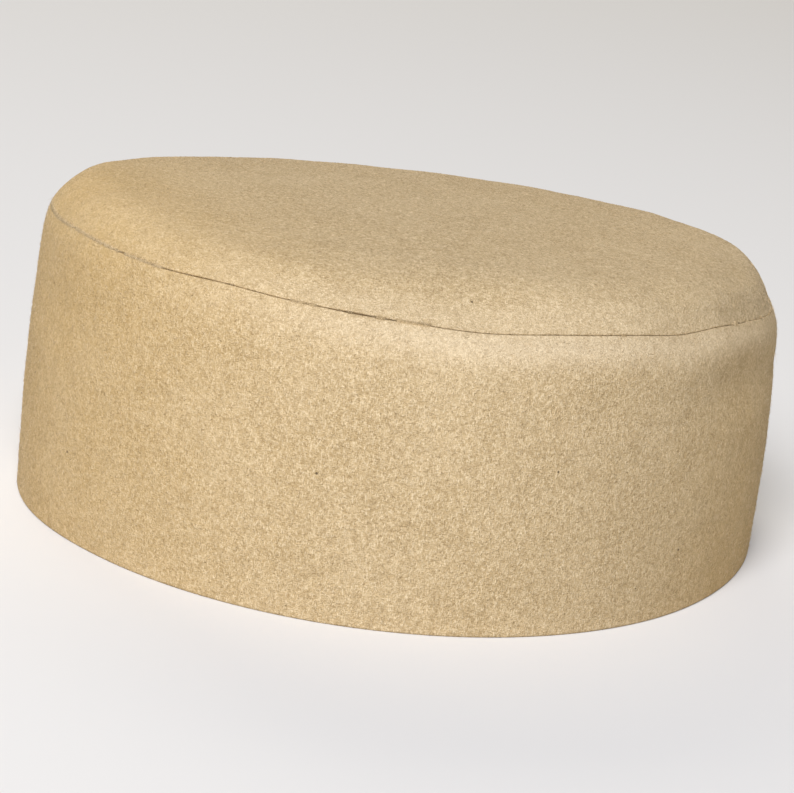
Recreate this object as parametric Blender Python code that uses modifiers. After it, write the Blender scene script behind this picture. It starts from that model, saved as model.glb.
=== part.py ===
"""A kufi cap of thick felt: a tall side band and an oval top panel, joined by a turned seam.

Metres, +Z up. The cap stands on its rim. The origin is the middle of the rim's plane, the front
of the cap is at -Y and its back at +Y. Every section below is a place on the cloth's outer face.
"""

import math
from collections import namedtuple

import bmesh
import bpy
from mathutils import Vector

# Driving dimensions, measured on the outer face of the felt
HALF_LENGTH = 0.0960       # middle of the cap to its front or back, at the top of the wall
HALF_WIDTH = 0.0906        # middle of the cap to either side, at the top of the wall
FRONT_FULLNESS = 0.100     # how much fuller the front half is drawn than the back, as a share
SEAM_HEIGHT = 0.0683       # the seam above the rim, halfway along the cap
SEAM_INSET = 0.0016        # the seam, in from the outline at the top of the wall
FRONT_LIFT = 0.0035        # how much higher the seam is at the front, and lower at the back
FELT = 0.0021              # thickness of the cloth
EDGE_ROUNDING = 0.0005     # rounding of every cut or turned edge
SEAM_GAP = 0.0003          # between the two cloths where they meet in the seam
SEAM_LEAN = math.radians(32)   # the seam's cleft runs into the cap, this far below the level
ALLOWANCE = 0.0075         # depth of the cloth turned in there, from the surface to its raw edge
SEGMENTS = 72              # facets round the cap

# Columns: height above the rim, and distance out from the outline at the top of the wall
BandRow = namedtuple("BandRow", "height outset")
BAND_SECTION = (
    BandRow(0.0000, 0.0018),     # the rim, where the cloth stands upright
    BandRow(0.0060, 0.0018),
    BandRow(0.0190, 0.0020),
    BandRow(0.0340, 0.0017),
    BandRow(0.0490, 0.0010),
    BandRow(0.0595, 0.0003),
    BandRow(0.0643, -0.0002),    # the top edge starts to roll over here, towards the seam
)

# Columns: distance in from the seam, and height above it
PanelRow = namedtuple("PanelRow", "inset rise")
PANEL_SHOULDER = (
    PanelRow(0.0020, 0.0028),
    PanelRow(0.0040, 0.0050),
    PanelRow(0.0068, 0.0071),
    PanelRow(0.0105, 0.0087),
    PanelRow(0.0150, 0.0096),
)

# Columns: share of the way from the shoulder to the middle of the top, and height above the seam
CrownRow = namedtuple("CrownRow", "share rise")
PANEL_CROWN = (
    CrownRow(0.30, 0.0107),
    CrownRow(0.64, 0.0113),
    CrownRow(1.00, 0.0115),
)

# Columns: the dent's place, in degrees from the front towards +X and in height above the rim, its
# depth, and how far it reaches to either side and up and down. A hump has a depth below nothing.
Dent = namedtuple("Dent", "turn height depth reach_turn reach_height")
DENTS = (
    Dent(111, 0.0540, 0.0013, 24, 0.014),      # slack cloth under the seam, on the right
    Dent(343, 0.0540, 0.0010, 24, 0.016),      # the same, left of the front
    Dent(330, 0.0720, -0.0010, 32, 0.014),     # the full corner above it
    Dent(215, 0.0360, 0.0012, 40, 0.026),      # a slack stretch of the back
)

FELT_COLOUR = (0.56, 0.41, 0.22, 1.0)      # tan, in linear light


def outline(turn, outset):
    """Point of the cap's plan, at an angle from the front towards +X, moved out square to it."""

    def plain(angle):
        width = HALF_WIDTH * math.sin(angle) * (1 + FRONT_FULLNESS * math.cos(angle))
        return Vector((width, -HALF_LENGTH * math.cos(angle), 0.0))

    step = 0.001
    along = (plain(turn + step) - plain(turn - step)).normalized()
    return plain(turn) + Vector((along.y, -along.x, 0.0)) * outset


def bump(distance, reach):
    """Smooth hump: 1 at no distance, falling to 0 at the reach."""
    share = min(abs(distance) / reach, 1.0)
    return 0.5 + 0.5 * math.cos(math.pi * share)


def dent_depth(turn, height):
    """How far the cloth is pressed in at one place of the wall."""
    depth = 0.0
    for dent in DENTS:
        off = (math.degrees(turn) - dent.turn + 180) % 360 - 180
        depth += dent.depth * bump(off, dent.reach_turn) * bump(height - dent.height, dent.reach_height)
    return depth


def lifted(point, height):
    """Set a plan point to its height, raised towards the front, the rim staying level."""
    lift = -FRONT_LIFT * point.y / HALF_LENGTH * min(height / SEAM_HEIGHT, 1.0)
    return Vector((point.x, point.y, height + lift))


def wall_point(turn, outset, height):
    """A point of the wall or the seam: outline, dents and lift together."""
    return lifted(outline(turn, outset - dent_depth(turn, height)), height)


def seam_face(side):
    """Outset and height of the two ends of a cloth's face inside the seam.

    side is 1 for the top panel, which lies above the cleft, and -1 for the band below it.
    """
    inwards = Vector((-math.cos(SEAM_LEAN), -math.sin(SEAM_LEAN)))
    across = Vector((inwards.y, -inwards.x)) * side
    start = Vector((-SEAM_INSET, SEAM_HEIGHT)) + across * SEAM_GAP / 2
    return start, start + inwards * ALLOWANCE


def extrude_ring(mesh, edges, turn_layer, place):
    """Grow the surface by one ring of faces and put each new vertex at its place."""
    grown = bmesh.ops.extrude_edge_only(mesh, edges=edges)["geom"]
    for vert in (item for item in grown if isinstance(item, bmesh.types.BMVert)):
        vert.co = place(vert[turn_layer])
    new_edges = [item for item in grown if isinstance(item, bmesh.types.BMEdge)]
    return [edge for edge in new_edges if len(edge.link_faces) == 1]


def carry_section(places):
    """Open surface through a list of rings, each a function from turn to a point."""
    mesh = bmesh.new()
    turn_layer = mesh.verts.layers.float.new("turn")
    for step, vert in enumerate(bmesh.ops.create_circle(mesh, segments=SEGMENTS, radius=1.0)["verts"]):
        vert[turn_layer] = math.tau * step / SEGMENTS
        vert.co = places[0](vert[turn_layer])
    edges = mesh.edges[:]
    for place in places[1:]:
        edges = extrude_ring(mesh, edges, turn_layer, place)
    return mesh, edges


def face_outwards(mesh):
    """Turn the faces of an open surface so that they look away from the inside of the cap."""
    inside = Vector((0.0, 0.0, SEAM_HEIGHT / 2))
    looks_out = sum(face.normal.dot(face.calc_center_median() - inside) * face.calc_area()
                    for face in mesh.faces)
    if looks_out < 0:
        bmesh.ops.reverse_faces(mesh, faces=mesh.faces)


def felt_material(name):
    """Matt tan felt."""
    material = bpy.data.materials.new(name)
    material.use_nodes = True
    shader = material.node_tree.nodes["Principled BSDF"]
    shader.inputs["Base Color"].default_value = FELT_COLOUR
    shader.inputs["Roughness"].default_value = 0.95
    shader.inputs["Metallic"].default_value = 0.0
    material.diffuse_color = FELT_COLOUR
    return material


def felt_object(name, mesh, collection, parent):
    """Give an outer face the felt's thickness behind it and round its edges."""
    mesh.normal_update()
    face_outwards(mesh)
    data = bpy.data.meshes.new(name)
    mesh.to_mesh(data)
    mesh.free()
    data.shade_smooth()
    data.materials.append(felt_material(name + "_felt"))
    cloth = bpy.data.objects.new(name, data)
    collection.objects.link(cloth)
    cloth.parent = parent

    thickness = cloth.modifiers.new("Felt", "SOLIDIFY")
    thickness.thickness = FELT
    thickness.offset = -1.0
    thickness.use_even_offset = True
    rounding = cloth.modifiers.new("Edges", "BEVEL")
    rounding.width = EDGE_ROUNDING
    rounding.segments = 2
    rounding.limit_method = "ANGLE"
    rounding.angle_limit = math.radians(50)
    return cloth


def wall_ring(outset, height):
    """A ring of the wall or the seam, as a function from turn to point."""
    return lambda turn: wall_point(turn, outset, height)


def crown_ring(share, height):
    """A ring of the flat middle of the top, drawn in towards the middle by a share."""
    edge = -SEAM_INSET - PANEL_SHOULDER[-1].inset
    return lambda turn: lifted(outline(turn, edge) * (1 - share), height)


def side_band(collection, parent):
    """The wall, from its rim up over the roll, into the seam and down its allowance."""
    start, end = seam_face(-1)
    places = [wall_ring(row.outset, row.height) for row in BAND_SECTION]
    places += [wall_ring(*start), wall_ring(*end)]
    mesh, _ = carry_section(places)
    return felt_object("side_band", mesh, collection, parent)


def top_panel(collection, parent):
    """The top, from its allowance up out of the seam, over the shoulder to the middle."""
    start, end = seam_face(1)
    places = [wall_ring(*end), wall_ring(*start)]
    places += [wall_ring(-SEAM_INSET - row.inset, SEAM_HEIGHT + row.rise) for row in PANEL_SHOULDER]
    places += [crown_ring(row.share, SEAM_HEIGHT + row.rise) for row in PANEL_CROWN]
    mesh, edges = carry_section(places)
    last_ring = {vert for edge in edges for vert in edge.verts}
    bmesh.ops.remove_doubles(mesh, verts=list(last_ring), dist=1e-6)
    return felt_object("top_panel", mesh, collection, parent)


def main():
    """Clear the scene and build the cap."""
    for existing in list(bpy.data.objects):
        bpy.data.objects.remove(existing, do_unlink=True)
    collection = bpy.data.collections.new("kufi_cap")
    bpy.context.scene.collection.children.link(collection)
    cap = bpy.data.objects.new("kufi_cap", None)
    collection.objects.link(cap)
    side_band(collection, cap)
    top_panel(collection, cap)


main()
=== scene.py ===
"""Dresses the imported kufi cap: thick tan felt with a raised nap, sewn with one turned seam.

Metres, +Z up. The cap stands on its rim, with its front at -Y and its back at +Y. A place on the
cloth is given by its turn, the angle from the front towards +X, and by a point of the section:
outset, the distance out from the outline at the top of the wall, and height above the rim.
"""

import math
from collections import namedtuple

import bpy
import numpy as np
from mathutils import Matrix, Vector


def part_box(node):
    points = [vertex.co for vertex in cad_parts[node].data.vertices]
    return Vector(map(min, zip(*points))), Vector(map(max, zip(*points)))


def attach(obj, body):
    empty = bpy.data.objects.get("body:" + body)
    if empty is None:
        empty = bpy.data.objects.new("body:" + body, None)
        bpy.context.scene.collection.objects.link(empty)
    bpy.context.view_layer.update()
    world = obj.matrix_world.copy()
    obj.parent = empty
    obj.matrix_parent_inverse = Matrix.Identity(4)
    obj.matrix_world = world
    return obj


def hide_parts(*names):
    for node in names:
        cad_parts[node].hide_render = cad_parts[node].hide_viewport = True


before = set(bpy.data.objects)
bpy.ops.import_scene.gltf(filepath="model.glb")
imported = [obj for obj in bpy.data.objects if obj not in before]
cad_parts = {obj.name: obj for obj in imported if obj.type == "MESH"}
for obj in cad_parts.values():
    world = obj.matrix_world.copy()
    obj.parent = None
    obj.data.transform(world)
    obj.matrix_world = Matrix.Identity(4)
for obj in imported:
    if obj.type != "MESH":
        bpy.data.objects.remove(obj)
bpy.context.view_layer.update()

bl_info = {
    "name": "Felt kufi cap",
    "version": (1, 0, 0),
    "blender": (4, 5, 0),
    "location": "3D View > Sidebar > Felt cap",
    "description": "Models a felt kufi cap as sewn cloth with a raised nap",
    "category": "Object",
}

# The plan comes from the wall's own box: the wall reaches this far out of the outline at its fullest
WALL_REACH = 0.0020
WALL_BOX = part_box("side_band")
HALF_LENGTH = (WALL_BOX[1][1] - WALL_BOX[0][1]) / 2 - WALL_REACH
HALF_WIDTH = 0.0906
CENTRE_BLEND = 0.045       # inset over which rings of the top change from offsets to smaller copies
MIDDLE_INSET = 0.0930      # inset at which the rings of the top close in the middle
ROLL_POWER = 2.6           # how late the wall's roll sets in below the seam
SHOULDER_POWER = 2.8       # how soon the top levels out above the seam

# The resolution of the cloth: steps round the cap, and along each stretch of a section
TURN_STEPS = 640
BACK_SEAM_STEPS = 25
WALL_STEPS = 66
FOLD_STEPS = 9
ALLOWANCE_STEPS = 5
EDGE_STEPS = 4
INNER_STEPS = 44
OFFSET_STEPS = 900
CROWN_STEPS = 50
SHOULDER_STEPS = 18
SHOULDER_CROWDING = 1.3    # how much closer the rows of the shoulder lie near the seam
FOLD_CLEARANCE = 1.15      # rows nearer the seam's mouth than the fold, times this, are left out
OFFSET_TOLERANCE = 0.9995  # share of the thickness that the inner face keeps from the outer one

# Rows of the grids: both outsides, which carry the nap, and the last rows on each side of the seam
TOP_STEPS = CROWN_STEPS + SHOULDER_STEPS
WALL_OUTSIDE = slice(0, WALL_STEPS + FOLD_STEPS // 2)
TOP_OUTSIDE = slice(0, TOP_STEPS + FOLD_STEPS // 2)
WALL_LIP = slice(WALL_STEPS - 3, WALL_STEPS + 2)
TOP_LIP = slice(TOP_STEPS - 4, TOP_STEPS + 2)

# Stretches over which one thing sets in or gives way: where it starts, and where it is complete
HUMP_INSETS = (0.0020, 0.0044)         # inset on the top: its humps set in
WAVER_HEIGHTS = (0.045, 0.0600)        # height on the wall: the seam's ups and downs set in
WAVER_INSETS = (0.022, 0.008)          # inset on the top: the same, coming from the middle
DENT_INSETS = (0.030, 0.0)             # inset on the top: the dents, coming from the middle
RELIEF_HEIGHTS = (0.0002, 0.0025)      # height on the wall: the felt's relief, over the flat rim
RELIEF_DISTANCES = (0.0005, 0.004)     # distance from the seam: the felt's full relief
SEAM_RELIEF = 0.33                     # share of the relief at the seam

# The wall's closing seam: the turn in radians to either side that gets finer columns, the depth and
# the reach of its groove and of the dip around it, and the heights where both set in
BACK_SEAM_TURN = 0.030
GROOVE_DEPTH = 0.0008
GROOVE_REACH = 0.0006
DIP_DEPTH = 0.0003
DIP_REACH = 0.0045
BACK_SEAM_FOOT = (0.0, 0.002)
BACK_SEAM_HEAD = (0.0670, 0.0645)

# Tones along the seam: the line where the worn nap and its painted highlight are strongest and how far
# they reach from it, how far the painted shade at the ends reaches over the top, and how far a gaping
# place draws the cloth back
WEAR_AND_HIGHLIGHT_LINE = 0.0028
WEAR_AND_HIGHLIGHT_REACH = 0.0042
PAINTED_SHADE_REACH = 0.035
OPENING_REACH = 0.0012

# Whole numbers that scatter a lattice place and a seed into a random value, by sums and then by
# shifts and products
HASH_PLACES = (73856093, 19349663, 83492791)
HASH_SEED = 2654435761
HASH_MIXES = ((13, 1274126177), (15, 2246822519))

# The nap: seeds, least and greatest lean and radius as shares of the common ones, spread of lengths
WALL_NAP_SEED = 21
TOP_NAP_SEED = 22
SEAM_NAP_SEED = 23
LEAN_SHARES = (0.2, 1.4)
RADIUS_SHARES = (0.7, 1.4)
LENGTH_SPREAD = 0.35

# The nap across the seam
SEAM_DRAWS = 4                     # fibres drawn for each that may be kept
SEAM_KEPT = 0.6                    # share kept where the nap lies thickest
SEAM_CROWDING = 1.5                # how closely the fibres' ends crowd to the seam
SEAM_SLANT = 0.55                  # columns that a fibre slants over, as a common difference
SEAM_RADIUS_SHARES = (0.6, 1.2)    # least and greatest radius
SEAM_ROOT_DEPTH = 0.2              # how far a root sinks in, in radii
SEAM_TIP_RISE = 0.4                # how far a tip stands out, in radii
SEAM_OUTLOOK = 0.05                # rise of the way out of the seam, over its reach from the middle
LAST_ROW = 1.001                   # just short of a grid's last row, back from the number of rows


def length_prop(name, description, default):
    """A length in metres for a property group."""
    return bpy.props.FloatProperty(name=name, description=description, default=default,
                                   unit="LENGTH", precision=5)


def share_prop(name, description, default):
    """A plain share for a property group."""
    return bpy.props.FloatProperty(name=name, description=description, default=default,
                                   subtype="FACTOR", precision=3)


def colour_prop(name, description, default):
    """A colour in linear light for a property group."""
    return bpy.props.FloatVectorProperty(name=name, description=description, default=default,
                                         subtype="COLOR", size=3, min=0.0, max=1.0)


class FeltCapSizes(bpy.types.PropertyGroup):
    """Sizes of the cap that its cut and its sewing settle."""

    half_length: length_prop("Half length", "Middle of the cap to its front, at the top of the wall",
                             HALF_LENGTH)
    half_width: length_prop("Half width", "Middle of the cap to its side, at the top of the wall",
                            HALF_WIDTH)
    front_fullness: share_prop("Front fullness", "How much fuller the front half is than the back", 0.10)
    seam_height: length_prop("Seam height", "Height of the seam halfway along the cap", 0.0683)
    front_lift: length_prop("Front lift", "How much higher the seam is at the front", 0.0035)
    felt: length_prop("Felt", "Thickness of the cloth", 0.0021)
    rim_flare: length_prop("Rim flare", "How far the rim stands out of the top of the wall", 0.0018)
    belly: length_prop("Belly", "How far the wall bows out between rim and seam", 0.00045)
    roll_height: length_prop("Roll height", "How far below the seam the wall starts to lean in", 0.0130)
    roll_inset: length_prop("Roll inset", "How far in the seam lies from the wall", 0.0019)
    fold_radius: length_prop("Fold radius", "Radius of the cloth where it turns into the seam", 0.0003)
    seam_gap: length_prop("Seam gap", "Width of the cleft between the two cloths", 0.00008)
    seam_lean: bpy.props.FloatProperty(name="Seam lean", description="How far the cleft runs down",
                                       default=math.radians(32), subtype="ANGLE")
    allowance: length_prop("Allowance", "Depth of cloth turned into the seam", 0.0078)
    shoulder_rise: length_prop("Shoulder rise", "How far the top's edge climbs above the seam", 0.0091)
    shoulder_reach: length_prop("Shoulder reach", "How far in from the seam it climbs", 0.0175)
    dome: length_prop("Dome", "How much higher the middle of the top is", 0.0023)
    edge_rounding: length_prop("Edge rounding", "Radius of the cut edges", 0.0006)


class FeltCapNap(bpy.types.PropertyGroup):
    """The fibres that stand out of the cloth."""

    wall_fibres: bpy.props.IntProperty(name="Wall fibres", description="Fibres on the wall",
                                       default=46000, min=0)
    top_fibres: bpy.props.IntProperty(name="Top fibres", description="Fibres on the top",
                                      default=45000, min=0)
    length: length_prop("Fibre length", "Length of a common fibre", 0.0010)
    radius: length_prop("Fibre radius", "Radius of a fibre at its root", 0.00004)
    seam_fibres: bpy.props.IntProperty(name="Seam fibres", description="Fibres laid across the seam",
                                       default=36000, min=0)
    lean: bpy.props.FloatProperty(name="Fibre lean", description="How far a fibre stands off the cloth",
                                  default=math.radians(16), subtype="ANGLE")


class FeltCapColours(bpy.types.PropertyGroup):
    """Colours of the felt and of the stage."""

    felt: colour_prop("Felt", "The cloth's main tan", (0.555, 0.405, 0.215))
    felt_deep: colour_prop("Deep felt", "Between the fibres", (0.285, 0.190, 0.085))
    felt_pale: colour_prop("Pale felt", "Fibres that catch the light", (0.850, 0.690, 0.450))
    # Worn felt: rubbed nap, and also a painted highlight where the ridge below the seam catches the
    # light
    felt_worn_and_highlit: colour_prop("Worn felt", "Where the nap is rubbed along the edge", (0.900, 0.765, 0.570))
    # Painted shade: a warmer, more saturated tint for the ends of the cap, where the light falls off
    felt_painted_shade: colour_prop("Yellowed felt", "Where the wool has yellowed", (0.650, 0.405, 0.120))
    fleck: colour_prop("Fleck", "Stray dark wool", (0.07, 0.045, 0.025))
    floor: colour_prop("Floor", "The plain floor and backdrop", (0.80, 0.785, 0.76))


def smooth_step(low, high, value):
    """0 below low, 1 above high, and three squares less two cubes of the share between."""
    share = np.clip((value - low) / (high - low), 0.0, 1.0)
    return share * share * (3 - 2 * share)


def soft_bump(distance, reach):
    """Half of one plus the cosine of distance over reach in half turns: 1 in the middle, 0 at reach."""
    return 0.5 + 0.5 * np.cos(np.pi * np.clip(np.abs(distance) / reach, 0.0, 1.0))


def soft_noise(points, size, seed):
    """Smooth noise in space, about -1 to 1, with features of a given size.

    Each corner of a cubic lattice holds a random value, hashed from its whole-number place. A point
    takes the mean of its eight corners, weighted by smooth steps of its place between them.
    """
    place = points / size
    cell = np.floor(place).astype(np.int64)
    share = place - cell
    share = share * share * (3 - 2 * share)
    total = np.zeros(points.shape[:-1])
    for corner in range(8):
        step = np.array([corner & 1, corner >> 1 & 1, corner >> 2 & 1])
        weight = np.prod(np.where(step, share, 1 - share), axis=-1)
        key = (cell + step) @ np.array(HASH_PLACES) + seed * HASH_SEED
        for shift, factor in HASH_MIXES:
            key = (key ^ key >> shift) * factor & 0xFFFFFFFF
        total += weight * ((key >> 8 & 0xFFFF) / 32767.5 - 1)
    return total


# Columns: the dent's place in degrees from the front towards +X and in height, its depth, and how
# far it reaches round the cap in degrees and up and down. A hump has a depth below nothing.
DENTS = (
    (110, 0.0545, 0.0021, 26, 0.0125),
    (343, 0.0540, 0.0010, 24, 0.016),
    (330, 0.0720, -0.0007, 32, 0.014),
    (58, 0.0770, 0.0020, 46, 0.018),
    (56, 0.0740, 0.0018, 40, 0.0115),
    (84, 0.0688, 0.0008, 36, 0.0070),
    (106, 0.0696, 0.0013, 28, 0.0055),
    (138, 0.0640, -0.0006, 24, 0.011),
    (215, 0.0360, 0.0012, 40, 0.026),
    (343, 0.0000, -0.0006, 22, 0.024),
    (112, 0.0000, 0.0004, 26, 0.024),
)


def dent_depth(turn, height):
    """Sum of the dents: each a depth times a soft bump round the cap and a soft bump in height."""
    depth = 0.0
    for place, level, deep, reach_turn, reach_height in DENTS:
        around = soft_bump(degrees_from(turn, place), reach_turn)
        depth = depth + deep * around * soft_bump(height - level, reach_height)
    return depth


# Columns: where the seam rides up, in degrees from the front towards +X, by how much, and its reach
SEAM_RISES = (
    (322, 0.0010, 26),
    (344, 0.0004, 16),
    (22, 0.0005, 16),
    (50, -0.0004, 14),
    (12, -0.00025, 34),
    (57, -0.00078, 44),
    (84, -0.00020, 36),
    (106, -0.00055, 32),
    (76, 0.0009, 22),
    (103, 0.0005, 14),
    (133, -0.0021, 24),
)

# Columns: how many waves of the seam go round the cap, how high they are, and their start in radians
SEAM_WAVES = (
    (3, 0.00010, 0.4),
    (7, 0.00014, 2.1),
    (13, 0.00010, 4.0),
    (22, 0.00007, 1.2),
)

# Columns: where the seam gapes, in degrees from the front towards +X, by how much, and its reach
SEAM_OPENINGS = (
    (14, 0.00010, 4),
    (359, 0.00008, 4),
    (39, 0.00026, 8),
    (54, 0.00005, 6),
    (107, 0.00006, 6),
)

# Columns: where the top is fuller, in degrees and in distance in from the wall, by how much, and
# its reach round the cap and in and out
TOP_HUMPS = (
    (318, 0.0080, 0.0001, 34, 0.013),
    (28, 0.0140, -0.0012, 70, 0.013),
    (28, 0.0300, -0.0008, 75, 0.030),
    (270, 0.0150, -0.0009, 60, 0.020),
    (205, 0.0160, -0.0004, 50, 0.022),
    (150, 0.0085, 0.0003, 26, 0.013),
    (108, 0.0044, 0.0011, 34, 0.0066),
    (136, 0.0060, 0.0017, 28, 0.0090),
    (76, 0.0042, 0.0007, 34, 0.0060),
    (352, 0.0050, 0.0005, 36, 0.0080),
)


def degrees_from(turn, place):
    """Degrees between turns and a place, from -180 to 180."""
    return (np.degrees(turn) - place + 180) % 360 - 180


def top_rise(turn, outset):
    """Sum of the top's humps: each a height times a soft bump round the cap and one in and out.

    They set in over the first stretch of the top, so that the seam stays where it is.
    """
    total = 0.0
    for place, inset, rise, reach_turn, reach_inset in TOP_HUMPS:
        around = soft_bump(degrees_from(turn, place), reach_turn)
        total = total + rise * around * soft_bump(-outset - inset, reach_inset)
    return total * smooth_step(*HUMP_INSETS, -outset)


def back_seam(turn, height, sizes):
    """Depth of the wall's closing seam: a cusp-shaped groove down the middle of the back, in a dip.

    Each is a depth times a falling exponential, of the distance for the groove and of its square
    for the dip. They fade out towards the rim and below the fold.
    """
    along = (turn - np.pi) * sizes.half_length
    groove = GROOVE_DEPTH * np.exp(-np.abs(along) / GROOVE_REACH)
    dip = DIP_DEPTH * np.exp(-(along / DIP_REACH) ** 2)
    return (groove + dip) * smooth_step(*BACK_SEAM_FOOT, height) * smooth_step(*BACK_SEAM_HEAD, height)


def seam_waver(turn):
    """Ups and downs of the seam: soft bumps at a few places and four sine waves round the cap."""
    bumps = sum(rise * soft_bump(degrees_from(turn, place), reach) for place, rise, reach in SEAM_RISES)
    return bumps + sum(height * np.sin(count * turn + start) for count, height, start in SEAM_WAVES)


def plan_point(turn, outset, sizes):
    """Plan of the cap, moved square to its outline by the outset.

    The outline is an egg-like oval: y is minus the half length times the cosine of the turn, and x
    the half width times its sine times one plus the front fullness times its cosine. Deep inside,
    the offset outlines give way by a smooth step to smaller and smaller copies of the outline.
    """
    sine = np.sin(turn)
    cosine = np.cos(turn)
    full = sizes.front_fullness
    x = sizes.half_width * sine * (1 + full * cosine)
    y = -sizes.half_length * cosine
    slope_x = sizes.half_width * (cosine + full * (cosine * cosine - sine * sine))
    slope_y = sizes.half_length * sine
    size = np.hypot(slope_x, slope_y)
    shrink = np.clip(1 + outset / (MIDDLE_INSET + sizes.roll_inset), 0.0, None)
    blend = smooth_step(0.0, CENTRE_BLEND, -outset)
    plan_x = (1 - blend) * (x + slope_y / size * outset) + blend * x * shrink
    plan_y = (1 - blend) * (y - slope_x / size * outset) + blend * y * shrink
    return plan_x, plan_y


def place_cloth(turn, outset, height, sizes):
    """Points of the cap for arrays of turns and section points: dents, plan, lift and waver."""
    near_seam = smooth_step(*WAVER_HEIGHTS, height)
    pressed = outset - dent_depth(turn, height) * smooth_step(*DENT_INSETS, -outset)
    x, y = plan_point(turn, pressed, sizes)
    lift = -sizes.front_lift * y / sizes.half_length * np.clip(height / sizes.seam_height, 0, 1)
    waver = seam_waver(turn) * near_seam * smooth_step(*WAVER_INSETS, -outset)
    return np.stack([x, y, height + lift + waver + top_rise(turn, outset)], axis=-1)


def rising_steps(steps):
    """Shares from 0 to 1 whose steps shrink towards 1: 0.55 of an even share plus 0.45 of its sine."""
    even = np.linspace(0.0, 1.0, steps + 1)
    return 0.55 * even + 0.45 * np.sin(even * np.pi / 2)


def straight_points(start, end, steps):
    """Evenly spaced points of a straight line, without its first."""
    share = np.arange(1, steps + 1)[:, None] / steps
    return np.asarray(start) * (1 - share) + np.asarray(end) * share


def fillet(before, corner, after, radius, steps):
    """Points of a round corner: the arc of a radius that touches both legs of the corner."""
    before, corner, after = (np.asarray(point, float) for point in (before, corner, after))
    back = (before - corner) / np.linalg.norm(before - corner)
    ahead = (after - corner) / np.linalg.norm(after - corner)
    half = math.acos(np.clip(back @ ahead, -1, 1)) / 2
    middle = (back + ahead) / np.linalg.norm(back + ahead)
    centre = corner + middle * radius / math.sin(half)
    first = corner + back * radius / math.tan(half) - centre
    last = corner + ahead * radius / math.tan(half) - centre
    start = math.atan2(first[1], first[0])
    turn = (math.atan2(last[1], last[0]) - start + math.pi) % math.tau - math.pi
    return centre + radius * np.stack([np.cos(start + turn * np.arange(steps + 1) / steps),
                                       np.sin(start + turn * np.arange(steps + 1) / steps)], axis=-1)


def even_path(points, steps):
    """Evenly spaced points along a path, its ends kept."""
    run = np.concatenate([[0.0], np.cumsum(np.linalg.norm(np.diff(points, axis=0), axis=1))])
    places = np.linspace(0.0, run[-1], steps + 1)
    return np.stack([np.interp(places, run, line) for line in points.T], axis=-1)


def inner_face(outer, felt, steps):
    """The cloth's other face: the outer one moved square to itself by the thickness.

    Points that come nearer than the thickness to any part of the outer face are left out, which
    mitres the inside of a fold. What is left is thinned to even steps.
    """
    path = even_path(outer, OFFSET_STEPS)
    along = np.gradient(path, axis=0)
    along /= np.linalg.norm(along, axis=1)[:, None]
    moved = path + np.stack([-along[:, 1], along[:, 0]], axis=-1) * felt
    gaps = np.linalg.norm(moved[:, None] - path[None], axis=2).min(axis=1)
    return even_path(moved[gaps > abs(felt) * OFFSET_TOLERANCE], steps)


def seam_lines(sizes, side):
    """The straight run of a cloth inside the seam: its mouth and its raw end.

    side is 1 for the top, above the cleft, and -1 for the wall, below it.
    """
    inwards = np.array([-math.cos(sizes.seam_lean), -math.sin(sizes.seam_lean)])
    across = np.array([inwards[1], -inwards[0]]) * side
    mouth = np.array([-sizes.roll_inset, sizes.seam_height]) + across * sizes.seam_gap / 2
    return mouth, mouth + inwards * sizes.allowance


def wall_outer(sizes):
    """Section of the wall's outer face, from the rim to its raw edge in the seam.

    The outset is the flare times one less the square of the share of the way up, plus the belly
    times four times that share times the rest. Over the last stretch below the seam it loses the
    roll's inset times the share of that stretch to a power. A small fillet turns it into the seam.
    """
    mouth, end = seam_lines(sizes, -1)
    height = mouth[1] * rising_steps(WALL_STEPS)
    share = height / sizes.seam_height
    roll = np.clip((height - sizes.seam_height + sizes.roll_height) / sizes.roll_height, 0.0, None)
    outset = (sizes.rim_flare * (1 - share ** 2) + sizes.belly * 4 * share * (1 - share)
              - sizes.roll_inset * roll ** ROLL_POWER)
    return into_seam(np.stack([outset, height], axis=-1), mouth, end, sizes)


def into_seam(face, mouth, end, sizes):
    """Join a face's section to the straight run in the seam by a fillet, and cut off what it skips.

    The face comes into the fillet on the line from its fourth point before the end to the mouth.
    """
    fold = fillet(face[-4], mouth, end, sizes.fold_radius, FOLD_STEPS)
    keep = np.linalg.norm(face - mouth, axis=1) > np.linalg.norm(fold[0] - mouth) * FOLD_CLEARANCE
    return np.concatenate([face[keep], fold, straight_points(fold[-1], end, ALLOWANCE_STEPS)])


def cut_edge(before, after, sizes):
    """Both rounded corners of a cut edge, from the end of one face to the start of the next."""
    return [fillet(before[-2], before[-1], after[0], sizes.edge_rounding, EDGE_STEPS),
            fillet(before[-1], after[0], after[1], sizes.edge_rounding, EDGE_STEPS)]


def wall_section(sizes):
    """Closed section of the wall: outer face, raw edge, inner face and rim, its corners rounded."""
    outer = wall_outer(sizes)
    inner = inner_face(outer, sizes.felt, INNER_STEPS)[::-1]
    return np.concatenate([outer[1:-1], *cut_edge(outer, inner, sizes),
                           inner[1:-1], *cut_edge(inner, outer, sizes)])


def top_outer(sizes):
    """Section of the top's outer face, from its middle to its raw edge in the seam.

    The height above the seam is the rise times one less a power of the share of the shoulder still
    to go, plus the dome times one less the square of the share of the way to the middle still to go.
    """
    mouth, end = seam_lines(sizes, 1)
    crown = np.linspace(MIDDLE_INSET, sizes.shoulder_reach, CROWN_STEPS)[:-1]
    shoulder = sizes.shoulder_reach * np.linspace(1.0, 0.0, SHOULDER_STEPS) ** SHOULDER_CROWDING
    inset = np.concatenate([crown, shoulder])
    to_go = np.clip(1 - inset / sizes.shoulder_reach, 0.0, 1.0)
    height = (sizes.shoulder_rise * (1 - to_go ** SHOULDER_POWER)
              + sizes.dome * (1 - (1 - inset / MIDDLE_INSET) ** 2))
    return into_seam(np.stack([mouth[0] - inset, mouth[1] + height], axis=-1), mouth, end, sizes)


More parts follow.
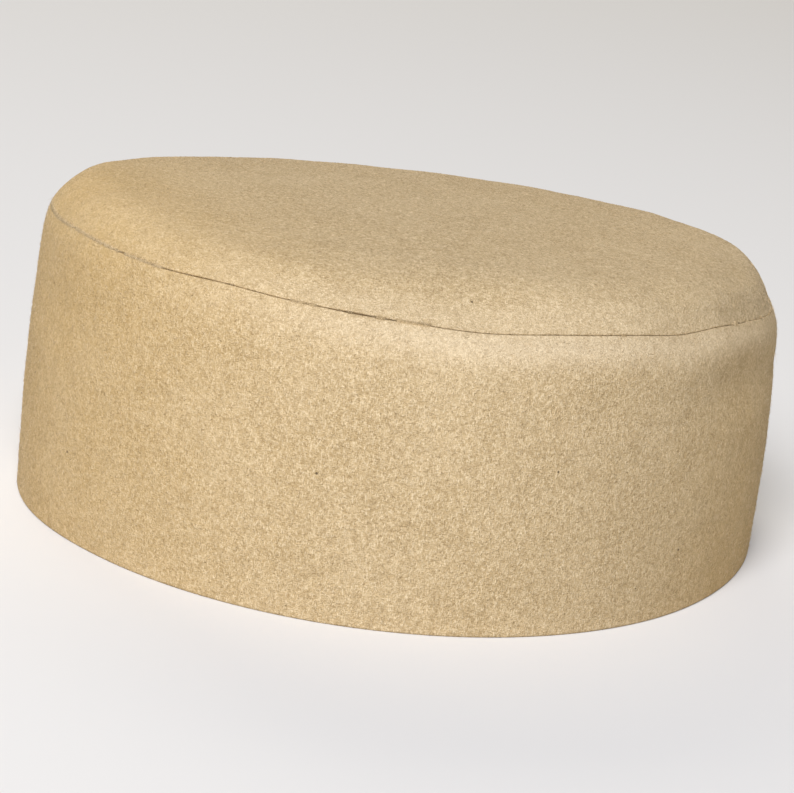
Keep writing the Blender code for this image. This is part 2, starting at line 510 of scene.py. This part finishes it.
def top_section(sizes):
    """Section of the top from the middle of its outer face round to the middle of its inner face."""
    outer = top_outer(sizes)
    inner = inner_face(outer, -sizes.felt, CROWN_STEPS)[::-1]
    inner[-1, 0] = outer[0, 0]
    return np.concatenate([outer[:-1], *cut_edge(outer, inner, sizes), inner[1:]])


def cap_turns():
    """Turns of the grid's columns: even steps, with finer ones at the back for the closing seam.

    The fine ones lie at a quarter of an even share plus three quarters of its cube.
    """
    even = np.arange(TURN_STEPS) * math.tau / TURN_STEPS
    share = np.linspace(-1, 1, BACK_SEAM_STEPS)
    fine = np.pi + BACK_SEAM_TURN * (0.25 * share + 0.75 * share ** 3)
    return np.sort(np.concatenate([even[np.abs(even - np.pi) > BACK_SEAM_TURN], fine]))


def grid_normals(points):
    """Unit normals of a grid of points that closes round its first axis."""
    round_cap = np.roll(points, -1, axis=0) - np.roll(points, 1, axis=0)
    along = np.gradient(points, axis=1)
    normal = np.cross(round_cap, along)
    size = np.linalg.norm(normal, axis=-1, keepdims=True)
    return normal / np.maximum(size, 1e-12)


# Columns: the size of the felt's unevenness, how far it stands out, and the seed of its noise
RELIEF_LAYERS = (
    (0.034, 0.00022, 11),
    (0.013, 0.00012, 12),
    (0.0055, 0.00006, 13),
    (0.0024, 0.00005, 14),
)


def felt_relief(points):
    """How far the felt stands out of its smooth form: noise of four sizes, each with its own depth."""
    return sum(depth * soft_noise(points, size, seed) for size, depth, seed in RELIEF_LAYERS)


def roughen(points, groove, relief):
    """Push a grid of cloth points along their normals, out by the felt's relief and in by a groove.

    relief is the share of the felt's relief that each point takes. The rim's underside stays flat,
    and nothing is pushed below it.
    """
    raised = points + grid_normals(points) * (felt_relief(points) * relief - groove)[..., None]
    share = smooth_step(*RELIEF_HEIGHTS, points[..., 2])[..., None]
    rough = points * (1 - share) + raised * share
    rough[..., 2] = np.maximum(rough[..., 2], 0.0)
    return rough


def mesh_object(name, points, faces):
    """A smooth-shaded object at the origin from arrays of points and four-sided or three-sided faces."""
    mesh = bpy.data.meshes.new(name)
    corners = np.concatenate([block.ravel() for block in faces])
    counts = np.concatenate([np.full(len(block), block.shape[1]) for block in faces])
    mesh.vertices.add(len(points))
    mesh.vertices.foreach_set("co", points.astype(np.float32).ravel())
    mesh.loops.add(len(corners))
    mesh.loops.foreach_set("vertex_index", corners.astype(np.int32))
    starts = np.concatenate([[0], np.cumsum(counts)[:-1]])
    mesh.polygons.add(len(counts))
    mesh.polygons.foreach_set("loop_start", starts.astype(np.int32))
    mesh.update(calc_edges=True)
    mesh.validate()
    mesh.shade_smooth()
    piece = bpy.data.objects.new(name, mesh)
    bpy.context.scene.collection.objects.link(piece)
    return piece


def keep_share(piece, name, values):
    """Keep one share for each point of a piece, as an attribute that its material reads."""
    layer = piece.data.attributes.new(name, "FLOAT", "POINT")
    layer.data.foreach_set("value", values.astype(np.float32))


def grid_faces(columns, rows, closed_rows):
    """Four-sided faces of a grid that closes round its columns, and along its rows if asked."""
    last = rows if closed_rows else rows - 1
    column = np.arange(columns)[:, None]
    row = np.arange(last)[None, :]
    right = (column + 1) % columns
    up = (row + 1) % rows
    return np.stack([column * rows + row, right * rows + row, right * rows + up, column * rows + up],
                    axis=-1).reshape(-1, 4)


def closed_at_poles(grid):
    """Points and faces of a grid whose first and last rows each draw together into one point."""
    columns, rows = grid.shape[0], grid.shape[1] - 2
    poles = np.stack([grid[:, 0].mean(axis=0), grid[:, -1].mean(axis=0)])
    column = np.arange(columns)
    right = (column + 1) % columns
    first, last = np.full((2, columns), columns * rows) + [[0], [1]]
    outer_fan = np.stack([first, column * rows, right * rows], axis=-1)
    inner_fan = np.stack([last, (right + 1) * rows - 1, (column + 1) * rows - 1], axis=-1)
    points = np.concatenate([grid[:, 1:-1].reshape(-1, 3), poles])
    return points, [grid_faces(columns, rows, False)[:, ::-1], outer_fan, inner_fan]


# Columns: where the nap is rubbed pale beside the seam, with a painted highlight on the lit ridge below
# it, in degrees from the front towards +X, how strongly on the wall and on the top as shares, and its
# reach
WEAR_AND_HIGHLIGHT_PLACES = (
    (64, 0.27, 0.12, 56),
    (28, 0.03, 0.05, 30),
    (110, 0.17, 0.00, 32),
    (190, 0.12, 0.08, 90),
)

# Columns: where a warmer, deeper tint is painted as shade at the ends of the cap, in degrees from the
# front towards +X, how strongly at the rim, at the seam and on the top as shares, and its reach
PAINTED_SHADE_PLACES = (
    (335, 0.31, 0.44, 0.42, 75),
    (122, 0.44, 0.16, 0.00, 45),
)


def seam_distance(section, sizes):
    """Distance of each point of a section from the seam's mouth."""
    return np.linalg.norm(section - seam_lines(sizes, -1)[0], axis=1)


def wear_and_painted_highlight_of(section, sizes, side):
    """How worn each point of a cloth is, with the painted highlight of the lit ridge: a share,
    strongest 2.8 mm from the seam.

    Round the cap it is the sum of the worn places, each a share times a soft bump. Along the
    section it is a falling exponential of the square of the distance from that line.
    """
    along = np.exp(-((seam_distance(section, sizes) - WEAR_AND_HIGHLIGHT_LINE) / WEAR_AND_HIGHLIGHT_REACH) ** 2)
    turn = cap_turns()
    round_cap = sum((wall if side < 0 else top) * soft_bump(degrees_from(turn, place), reach)
                    for place, wall, top, reach in WEAR_AND_HIGHLIGHT_PLACES)
    return round_cap[:, None] * along[None, :]


def painted_shade_of(section, sizes, side):
    """How much painted shade each point of a cloth takes: the sum of the shaded places, each a soft
    bump.

    Up the wall a place goes evenly from its share at the rim to that at the seam. On the top it
    fades by a falling exponential of the square of the distance from the seam.
    """
    turn = cap_turns()[:, None]
    climb = np.clip(section[:, 1] / sizes.seam_height, 0.0, 1.0)
    fade = np.exp(-(seam_distance(section, sizes) / PAINTED_SHADE_REACH) ** 2)
    total = 0.0
    for place, rim, seam, top, reach in PAINTED_SHADE_PLACES:
        along = top * fade if side > 0 else rim + (seam - rim) * climb
        total = total + soft_bump(degrees_from(turn, place), reach) * along
    return total


# Columns: name of a tone's attribute, and the function that gives its share
TONES = (
    ("wear_and_painted_highlight", wear_and_painted_highlight_of),
    ("painted_shade", painted_shade_of),
)


def seam_opening(turn, from_seam):
    """How far each cloth draws back where the seam gapes.

    It is half the sum of a few soft bumps round the cap, times a falling exponential of the square
    of the distance from the seam's mouth.
    """
    gaps = sum(gap * soft_bump(degrees_from(turn, place), reach) for place, gap, reach in SEAM_OPENINGS)
    return gaps * np.exp(-(from_seam / OPENING_REACH) ** 2) / 2


def cloth_grid(section, sizes, outer_rows):
    """The section carried round the cap: an array of points, turns by section places.

    The first rows, as many as outer_rows, take the groove of the closing seam. The cloth's relief
    fades to a third over the last 4 mm before the turned seam. Where the seam gapes, the wall sinks
    and the top rises by half the opening.
    """
    turn, outset = np.meshgrid(cap_turns(), section[:, 0], indexing="ij")
    height = np.broadcast_to(section[:, 1], turn.shape)
    groove = back_seam(turn, height, sizes) * (np.arange(len(section)) < outer_rows)
    from_seam = seam_distance(section, sizes)
    relief = SEAM_RELIEF + (1 - SEAM_RELIEF) * smooth_step(*RELIEF_DISTANCES, from_seam)
    points = place_cloth(turn, outset, height, sizes)
    points[..., 2] += seam_opening(turn, from_seam) * (-1 if outer_rows else 1)
    return roughen(points, groove, relief)


def dress(piece, node, materials):
    """Give a piece its felt, let it ride on the cap and stand for its node."""
    for material in materials:
        piece.data.materials.append(material)
    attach(piece, "root")
    if node:
        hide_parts(node)


# What is the same for all wool here: rough, hardly glossy, with a faint warm sheen
WOOL_FINISH = (
    ("Roughness", 0.92),
    ("Specular IOR Level", 0.15),
    ("Sheen Weight", 0.03),
    ("Sheen Roughness", 0.45),
    ("Sheen Tint", (1.0, 0.93, 0.80, 1.0)),
)

# How far the felt's pattern seems to stand out, for light that falls on it
BUMP_DEPTH = 0.00014


class Nodes:
    """A material's node tree, written as calls that return sockets."""

    def __init__(self, name):
        self.material = bpy.data.materials.new(name)
        self.material.use_nodes = True
        self.tree = self.material.node_tree
        self.shader = self.tree.nodes["Principled BSDF"]

    def node(self, kind, links=(), **settings):
        """Add a node, set its properties and link or set its inputs by name or number."""
        made = self.tree.nodes.new(kind)
        for key, value in settings.items():
            setattr(made, key, value)
        for key, value in links:
            if isinstance(value, bpy.types.NodeSocket):
                self.tree.links.new(value, made.inputs[key])
            else:
                made.inputs[key].default_value = value
        return made

    def noise(self, place, scale, detail=2.0, roughness=0.5):
        """A noise value at a place, from about 0 to 1."""
        return self.node("ShaderNodeTexNoise", (("Vector", place), ("Scale", scale), ("Detail", detail),
                                                ("Roughness", roughness))).outputs["Fac"]

    def strokes(self, place, tilt, scale):
        """A noise value drawn out into short strokes: the place is scaled and turned by a tilt."""
        turned = self.node("ShaderNodeMapping", (("Vector", place), ("Rotation", tilt),
                                                 ("Scale", scale)))
        return self.noise(turned.outputs["Vector"], 1.0, 1.0, 0.6)

    def attribute(self, name):
        """A share that the piece keeps for each of its points."""
        return self.node("ShaderNodeAttribute", attribute_name=name).outputs["Fac"]

    def ramp(self, value, low, high):
        """The share of the way from low to high, held between 0 and 1."""
        return self.node("ShaderNodeMapRange", (("Value", value), ("From Min", low), ("From Max", high)),
                         clamp=True).outputs["Result"]

    def math(self, operation, first, second):
        """The sum or the product of two values."""
        return self.node("ShaderNodeMath", ((0, first), (1, second)), operation=operation).outputs[0]

    def mix(self, share, first, second):
        """A colour between two others."""
        made = self.node("ShaderNodeMix", ((0, share), (6, first), (7, second)), data_type="RGBA")
        return made.outputs[2]

    def laid_over(self, colour, layers):
        """A colour with others laid over it in turn.

        Each layer has a pattern, the pattern's values where the layer starts and where it is
        complete, its share there, and its colour.
        """
        for pattern, start, complete, share, over in layers:
            covered = self.math("MULTIPLY", self.ramp(pattern, start, complete), share)
            colour = self.mix(covered, colour, over)
        return colour

    def finish(self, colour, height, distance):
        """Link a colour and a bump to the shader, and return the material."""
        bump = self.node("ShaderNodeBump", (("Height", height), ("Strength", 1.0),
                                            ("Distance", distance)))
        self.tree.links.new(colour, self.shader.inputs["Base Color"])
        self.tree.links.new(bump.outputs["Normal"], self.shader.inputs["Normal"])
        self.matt_wool()
        return self.material

    def matt_wool(self):
        """Give the shader the finish of wool."""
        for name, value in WOOL_FINISH:
            self.shader.inputs[name].default_value = value


def with_alpha(colour):
    """A colour as four numbers."""
    return (*colour, 1.0)


def felt_material(colours):
    """Tan wool felt: short strokes of fibres, fine speckle, soft mottling and a few dark flecks.

    Over the main tan lie the deep gaps and pale tops of three kinds of strokes and of their clumps,
    then the painted shade at the ends and the worn places with their painted highlight, then the
    mottling and the flecks. Scales are features a metre. The columns of a layer are those of laid_over.
    """
    tree = Nodes("tan_wool_felt")
    place = tree.node("ShaderNodeTexCoord").outputs["Object"]
    grain = tree.noise(place, 4600.0, 1.0, 0.6)
    upright = tree.strokes(place, (0.15, -0.2, 0.0), (3900.0, 3900.0, 1250.0))
    slanted = tree.strokes(place, (0.9, 0.5, 0.3), (3700.0, 3700.0, 1150.0))
    level = tree.strokes(place, (-0.2, 0.15, 0.6), (1250.0, 1500.0, 3900.0))
    clump = tree.noise(place, 720.0, 2.0, 0.6)
    mottle = tree.noise(place, 260.0, 3.0, 0.6)
    broad = tree.noise(place, 45.0, 3.0, 0.5)
    fleck = tree.node("ShaderNodeTexVoronoi", (("Vector", place), ("Scale", 60.0))).outputs["Distance"]
    deep, pale = with_alpha(colours.felt_deep), with_alpha(colours.felt_pale)
    colour = tree.laid_over(with_alpha(colours.felt), (
        (grain, 0.50, 0.26, 0.55, deep),
        (upright, 0.46, 0.28, 0.70, deep),
        (level, 0.46, 0.28, 0.70, deep),
        (slanted, 0.52, 0.72, 0.75, pale),
        (level, 0.54, 0.74, 0.65, pale),
        (clump, 0.50, 0.25, 0.32, deep),
        (clump, 0.50, 0.75, 0.30, pale),
    ))
    # Painted shade: the warmer, more saturated tint at the ends, where the light falls off
    colour = tree.mix(tree.attribute("painted_shade"), colour, with_alpha(colours.felt_painted_shade))
    # Worn places: pale rubbed nap, and a painted highlight along the lit ridge below the seam
    colour = tree.mix(tree.attribute("wear_and_painted_highlight"), colour, with_alpha(colours.felt_worn_and_highlit))
    colour = tree.laid_over(colour, (
        (mottle, 0.58, 0.30, 0.16, deep),
        (broad, 0.40, 0.72, 0.12, pale),
        (fleck, 0.022, 0.014, 0.85, with_alpha(colours.fleck)),
    ))
    height = grain
    for pattern in (upright, slanted, level, clump):
        height = tree.math("ADD", height, pattern)
    return tree.finish(colour, height, BUMP_DEPTH)


# Columns: a shade's name, its share of the fibres on the cloth and of those across the seam, where the
# many dark fibres are painted shade in the seam's groove, and how far its colour lies from the main tan
# towards the deep one, if below nothing, or the pale one
NapShade = namedtuple("NapShade", "name share seam_share place")
NAP_SHADES = (
    NapShade("dark", 0.22, 0.40, -0.75),
    NapShade("tan", 0.38, 0.42, 0.15),
    NapShade("pale", 0.40, 0.18, 0.75),
)


def nap_materials(colours):
    """The fibres' materials: one plain colour for each shade of the nap."""
    made = []
    for shade in NAP_SHADES:
        tree = Nodes("tan_wool_nap_" + shade.name)
        far = np.array(colours.felt_deep if shade.place < 0 else colours.felt_pale)
        colour = np.array(colours.felt) * (1 - abs(shade.place)) + far * abs(shade.place)
        tree.shader.inputs["Base Color"].default_value = with_alpha(colour)
        tree.matt_wool()
        made.append(tree.material)
    return made


def spikes(name, root, tip, normal, radius, shade):
    """One mesh of thin closed spikes of four faces, from arrays of roots, tips, normals and radii.

    Three points round the root, square to the line to the tip, make the base. shade is the number
    of each spike's material. Nothing reaches below the plane of the rim.
    """
    count = len(root)
    along = tip - root
    along /= np.linalg.norm(along, axis=1)[:, None]
    side_way = np.cross(along, normal)
    side_way /= np.linalg.norm(side_way, axis=1)[:, None]
    top_way = np.cross(side_way, along)
    base = [root + radius * (side_way * math.cos(angle) + top_way * math.sin(angle))
            for angle in (math.radians(90), math.radians(210), math.radians(330))]
    points = np.stack([*base, tip], axis=1).reshape(-1, 3)
    points[:, 2] = np.maximum(points[:, 2], 0.0)
    spike = np.array([[1, 0, 3], [2, 1, 3], [0, 2, 3], [0, 1, 2]])
    faces = (np.arange(count)[:, None, None] * 4 + spike[None]).reshape(-1, 3)
    piece = mesh_object(name, points, [faces])
    piece.data.polygons.foreach_set("material_index", np.repeat(shade, 4).astype(np.int32))
    return piece


def nap_fibres(name, grid, count, nap, seed):
    """Short fibres that lean off a grid of cloth.

    A root is a random point of a random face of the grid, faces being drawn by their areas. The
    tip is the root plus the fibre's length times a direction between a random heading along the
    cloth and its normal.
    """
    rng = np.random.default_rng(seed)
    normals = grid_normals(grid)
    column_next = np.roll(grid, -1, axis=0)
    side = column_next[:, :-1] - grid[:, :-1]
    rise = grid[:, 1:] - grid[:, :-1]
    area = np.linalg.norm(np.cross(side, rise), axis=-1)
    share = np.cumsum(area.ravel()) / area.sum()
    picked = np.searchsorted(share, rng.random(count))
    column, row = np.unravel_index(np.minimum(picked, area.size - 1), area.shape)
    across, up = rng.random((2, count, 1))
    root = grid[column, row] + side[column, row] * across + rise[column, row] * up
    normal = normals[column, row]
    heading = np.cross(normal, rng.normal(size=(count, 3)))
    heading /= np.linalg.norm(heading, axis=1)[:, None]
    lean = nap.lean * rng.uniform(*LEAN_SHARES, (count, 1))
    along = heading * np.cos(lean) + normal * np.sin(lean)
    length = nap.length * rng.lognormal(0.0, LENGTH_SPREAD, (count, 1))
    radius = nap.radius * rng.uniform(*RADIUS_SHARES, (count, 1))
    root = root - normal * radius
    shade = rng.choice(len(NAP_SHADES), count, p=[kind.share for kind in NAP_SHADES])
    return spikes(name, root, root + along * length, normal, radius, shade)


# How thickly the nap lies over the seam everywhere and at the least, as shares of the thickest, and
# how much its noise may differ from the cover at the brink of closing
EVEN_COVER = 0.07
LEAST_COVER = 0.01
COVER_BRINK = 0.15

# Columns: where the nap closes over the seam, in degrees from the front towards +X, how thickly as
# a share of the thickest, and its reach
SEAM_COVERS = (
    (334, 0.90, 44),
    (4, 0.45, 9),
    (31, 0.60, 4),
    (39, 0.30, 8),
    (47, 0.70, 5),
    (142, 0.45, 16),
    (200, 0.30, 60),
    (285, 0.40, 50),
)

# Columns: strength of the noise that the cover is held against, its size, and its seed
COVER_NOISE = (
    (0.45, 0.0009, 31),
    (0.25, 0.0030, 32),
)


def seam_cover(turn, points):
    """How thickly the nap lies over the seam, from the least cover to 1.

    A little cover everywhere and soft bumps at a few places are held against smooth noise about a
    half, so that the seam is either closed or open within a millimetre.
    """
    cover = EVEN_COVER + sum(share * soft_bump(degrees_from(turn, place), reach)
                             for place, share, reach in SEAM_COVERS)
    field = 0.5
    for strength, size, seed in COVER_NOISE:
        field = field + strength * soft_noise(points, size, seed)
    return np.clip(smooth_step(-COVER_BRINK, COVER_BRINK, cover - field), LEAST_COVER, 1.0)


def across_grid(grid, column, row):
    """Points of a grid at a whole-number column plus a share and a row plus a share."""
    first, low = np.floor(column).astype(int), np.floor(row).astype(int)
    right, up = (column - first)[:, None], (row - low)[:, None]
    second = (first + 1) % len(grid)
    near = grid[first, low] * (1 - right) + grid[second, low] * right
    far = grid[first, low + 1] * (1 - right) + grid[second, low + 1] * right
    return near * (1 - up) + far * up


def seam_fibres(name, wall, top, nap, seed):
    """Short fibres laid across the seam, from the wall's edge to the top's or back.

    wall and top are the two grids' last rows before the seam, nearest it last. A fibre runs from a
    random place of one to a random place of the other a little further round the cap, and hardly
    stands proud of both. Of all fibres drawn, a place keeps the share that its cover asks for.
    """
    rng = np.random.default_rng(seed)
    drawn = nap.seam_fibres * SEAM_DRAWS
    column = rng.uniform(0, len(wall), drawn)
    low, high = (rows - LAST_ROW - rng.uniform(0.0, 1.0, drawn) ** SEAM_CROWDING * (rows - 2)
                 for rows in (wall.shape[1], top.shape[1]))
    start = across_grid(wall, column, low)
    turn = np.arctan2(start[:, 0], -start[:, 1])
    kept = np.flatnonzero(rng.random(drawn) < seam_cover(turn, start) * SEAM_KEPT)[:nap.seam_fibres]
    shifted = (column + rng.normal(0.0, SEAM_SLANT, drawn)) % len(wall)
    end = across_grid(top, shifted, high)[kept]
    start = start[kept]
    out = np.stack([start[:, 0], start[:, 1], np.full(len(kept), SEAM_OUTLOOK)], axis=-1)
    out /= np.linalg.norm(out, axis=1)[:, None]
    radius = nap.radius * rng.uniform(*SEAM_RADIUS_SHARES, (len(kept), 1))
    down = rng.random((len(kept), 1)) < 0.5
    root = np.where(down, end, start) - out * radius * SEAM_ROOT_DEPTH
    tip = np.where(down, start, end) + out * radius * SEAM_TIP_RISE
    # Painted shade: the fibres across the seam are mostly dark, standing in for the shade of its groove
    shade = rng.choice(len(NAP_SHADES), len(kept), p=[kind.seam_share for kind in NAP_SHADES])
    return spikes(name, root, tip, out, radius, shade)


def wall_grid(sizes):
    """Grid of the whole wall."""
    return cloth_grid(wall_section(sizes), sizes, WALL_STEPS)


def top_grid(sizes):
    """Grid of the whole top, from pole to pole."""
    return cloth_grid(top_section(sizes), sizes, 0)


class FELTCAP_OT_side_band(bpy.types.Operator):
    """Model the tall felt wall, from its rim over the rolled edge into the seam"""

    bl_idname = "feltcap.side_band"
    bl_label = "Side band"

    def execute(self, context):
        sizes = context.scene.felt_cap_sizes
        grid = wall_grid(sizes)
        faces = grid_faces(grid.shape[0], grid.shape[1], True)
        piece = mesh_object("side_band_felt", grid.reshape(-1, 3), [faces])
        section = wall_section(sizes)
        for name, share_of in TONES:
            keep_share(piece, name, share_of(section, sizes, -1).ravel())
        dress(piece, "side_band", [shared_felt(context)])
        return {"FINISHED"}


class FELTCAP_OT_top_panel(bpy.types.Operator):
    """Model the oval felt top, from its middle over the shoulder into the seam and back inside"""

    bl_idname = "feltcap.top_panel"
    bl_label = "Top panel"

    def execute(self, context):
        sizes = context.scene.felt_cap_sizes
        piece = mesh_object("top_panel_felt", *closed_at_poles(top_grid(sizes)))
        section = top_section(sizes)[1:-1]
        for name, share_of in TONES:
            keep_share(piece, name, np.concatenate([share_of(section, sizes, 1).ravel(), [0.0, 0.0]]))
        dress(piece, "top_panel", [shared_felt(context)])
        return {"FINISHED"}


class FELTCAP_OT_nap(bpy.types.Operator):
    """Raise the nap: short fibres over the outside of the wall, the top and the seam"""

    bl_idname = "feltcap.nap"
    bl_label = "Nap"

    def execute(self, context):
        sizes = context.scene.felt_cap_sizes
        nap = context.scene.felt_cap_nap
        materials = nap_materials(context.scene.felt_cap_colours)
        wall, top = wall_grid(sizes), top_grid(sizes)
        for piece in (
            nap_fibres("side_band_nap", wall[:, WALL_OUTSIDE], nap.wall_fibres, nap, WALL_NAP_SEED),
            nap_fibres("top_panel_nap", top[:, TOP_OUTSIDE], nap.top_fibres, nap, TOP_NAP_SEED),
            seam_fibres("seam_nap", wall[:, WALL_LIP], top[:, TOP_LIP], nap, SEAM_NAP_SEED),
        ):
            dress(piece, None, materials)
        return {"FINISHED"}


def shared_felt(context):
    """The felt material, made once."""
    return bpy.data.materials.get("tan_wool_felt") or felt_material(context.scene.felt_cap_colours)


# The photograph's camera: where it stands round the cap, how it is tilted and what it looks at, which
# is a point at a height above the middle of the rim, moved to the camera's right and up
CAMERA_AZIMUTH = math.radians(47.25)
CAMERA_ELEVATION = math.radians(14.06)
CAMERA_ROLL = math.radians(6.72)
CAMERA_DISTANCE = 0.6564
CAMERA_LENS_MM = 115.6
CAMERA_SENSOR_MM = 36.0
CAMERA_CLIP = 0.01
AIM_HEIGHT = 0.0345
AIM_RIGHT = -0.0041
AIM_UP = -0.0049

# The studio: the side of the floor, its finish, the even light from all round, and two square soft
# lights at one distance, given by where they stand, their power in watts and their colour
FLOOR_SIDE = 12.0
FLOOR_ROUGHNESS = 0.9
FLOOR_SPECULAR = 0.1
EVEN_LIGHT = 0.03
LIGHT_DISTANCE = 5.0
LIGHT_SIZE = 2.8
StudioLight = namedtuple("StudioLight", "name azimuth elevation watts colour")
STUDIO_LIGHTS = (
    StudioLight("key", 38.0, 43.0, 341.0, (0.985, 1.0, 1.06)),
    StudioLight("back_fill", -116.0, 30.0, 94.0, (1.0, 0.93, 0.80)),
)


def direction(azimuth, elevation):
    """Unit vector towards a place round the cap, at angles in radians."""
    return np.array([math.sin(azimuth) * math.cos(elevation), -math.cos(azimuth) * math.cos(elevation),
                     math.sin(elevation)])


def camera_axes():
    """The camera's right, up and backward directions, turned about its line of sight by the roll."""
    back = direction(CAMERA_AZIMUTH, CAMERA_ELEVATION)
    level = np.array([math.cos(CAMERA_AZIMUTH), math.sin(CAMERA_AZIMUTH), 0.0])
    upright = np.cross(back, level)
    right = math.cos(CAMERA_ROLL) * level + math.sin(CAMERA_ROLL) * upright
    up = -math.sin(CAMERA_ROLL) * level + math.cos(CAMERA_ROLL) * upright
    return right, up, back


def place_camera():
    """Stand the camera at the photograph's angle, aimed a little off the middle of the cap."""
    right, up, back = camera_axes()
    middle = np.array([0.0, 0.0, AIM_HEIGHT])
    position = middle + back * CAMERA_DISTANCE
    aim = middle + right * AIM_RIGHT + up * AIM_UP
    sight = (position - aim) / np.linalg.norm(position - aim)
    right = np.cross(up, sight)
    right /= np.linalg.norm(right)
    up = np.cross(sight, right)
    data = bpy.data.cameras.new("camera")
    data.lens = CAMERA_LENS_MM
    data.sensor_width = CAMERA_SENSOR_MM
    data.clip_start = CAMERA_CLIP
    camera = bpy.data.objects.new("camera", data)
    camera.matrix_world = Matrix([*np.stack([right, up, sight, position], axis=-1), (0, 0, 0, 1)])
    bpy.context.scene.collection.objects.link(camera)
    bpy.context.scene.camera = camera


def hang_light(studio_light):
    """Hang a square soft light so that it looks at the cap from its direction."""
    back = Vector(direction(math.radians(studio_light.azimuth), math.radians(studio_light.elevation)))
    data = bpy.data.lights.new(studio_light.name, "AREA")
    data.size = LIGHT_SIZE
    data.energy = studio_light.watts
    data.color = studio_light.colour
    light = bpy.data.objects.new(studio_light.name, data)
    light.location = back * LIGHT_DISTANCE + Vector((0, 0, AIM_HEIGHT))
    light.rotation_euler = back.to_track_quat("Z", "Y").to_euler()
    bpy.context.scene.collection.objects.link(light)


class FELTCAP_OT_stage(bpy.types.Operator):
    """Set the pale floor, the soft studio light and the camera"""

    bl_idname = "feltcap.stage"
    bl_label = "Stage"

    def execute(self, context):
        colours = context.scene.felt_cap_colours
        bpy.ops.mesh.primitive_plane_add(size=FLOOR_SIDE)
        floor = context.object
        floor.name = "floor"
        tree = Nodes("pale_floor")
        tree.shader.inputs["Base Color"].default_value = with_alpha(colours.floor)
        tree.shader.inputs["Roughness"].default_value = FLOOR_ROUGHNESS
        tree.shader.inputs["Specular IOR Level"].default_value = FLOOR_SPECULAR
        floor.data.materials.append(tree.material)
        world = bpy.data.worlds.new("studio")
        world.use_nodes = True
        background = world.node_tree.nodes["Background"]
        background.inputs["Color"].default_value = (1.0, 1.0, 1.0, 1.0)
        background.inputs["Strength"].default_value = EVEN_LIGHT
        context.scene.world = world
        for studio_light in STUDIO_LIGHTS:
            hang_light(studio_light)
        context.scene.view_settings.view_transform = "Standard"
        place_camera()
        return {"FINISHED"}


class FELTCAP_PT_build(bpy.types.Panel):
    """Lists the cap's pieces and their sizes"""

    bl_idname = "FELTCAP_PT_build"
    bl_label = "Felt cap"
    bl_space_type = "VIEW_3D"
    bl_region_type = "UI"
    bl_category = "Felt cap"

    def draw(self, context):
        layout = self.layout
        for operator in OPERATORS:
            layout.operator(operator.bl_idname)
        for group in (context.scene.felt_cap_sizes, context.scene.felt_cap_nap,
                      context.scene.felt_cap_colours):
            box = layout.box()
            for name in group.__annotations__:
                box.prop(group, name)


GROUPS = (FeltCapSizes, FeltCapNap, FeltCapColours)
OPERATORS = (FELTCAP_OT_side_band, FELTCAP_OT_top_panel, FELTCAP_OT_nap, FELTCAP_OT_stage)


def register():
    """Register the classes and hang the settings on the scene."""
    for item in (*GROUPS, *OPERATORS, FELTCAP_PT_build):
        bpy.utils.register_class(item)
    bpy.types.Scene.felt_cap_sizes = bpy.props.PointerProperty(type=FeltCapSizes)
    bpy.types.Scene.felt_cap_nap = bpy.props.PointerProperty(type=FeltCapNap)
    bpy.types.Scene.felt_cap_colours = bpy.props.PointerProperty(type=FeltCapColours)


def unregister():
    """Take the settings and the classes away again."""
    del bpy.types.Scene.felt_cap_colours
    del bpy.types.Scene.felt_cap_nap
    del bpy.types.Scene.felt_cap_sizes
    for item in reversed((*GROUPS, *OPERATORS, FELTCAP_PT_build)):
        bpy.utils.unregister_class(item)


def main():
    """Build the cap and its stage."""
    register()
    bpy.ops.feltcap.side_band()
    bpy.ops.feltcap.top_panel()
    bpy.ops.feltcap.nap()
    bpy.ops.feltcap.stage()


if __name__ == "__main__":
    main()
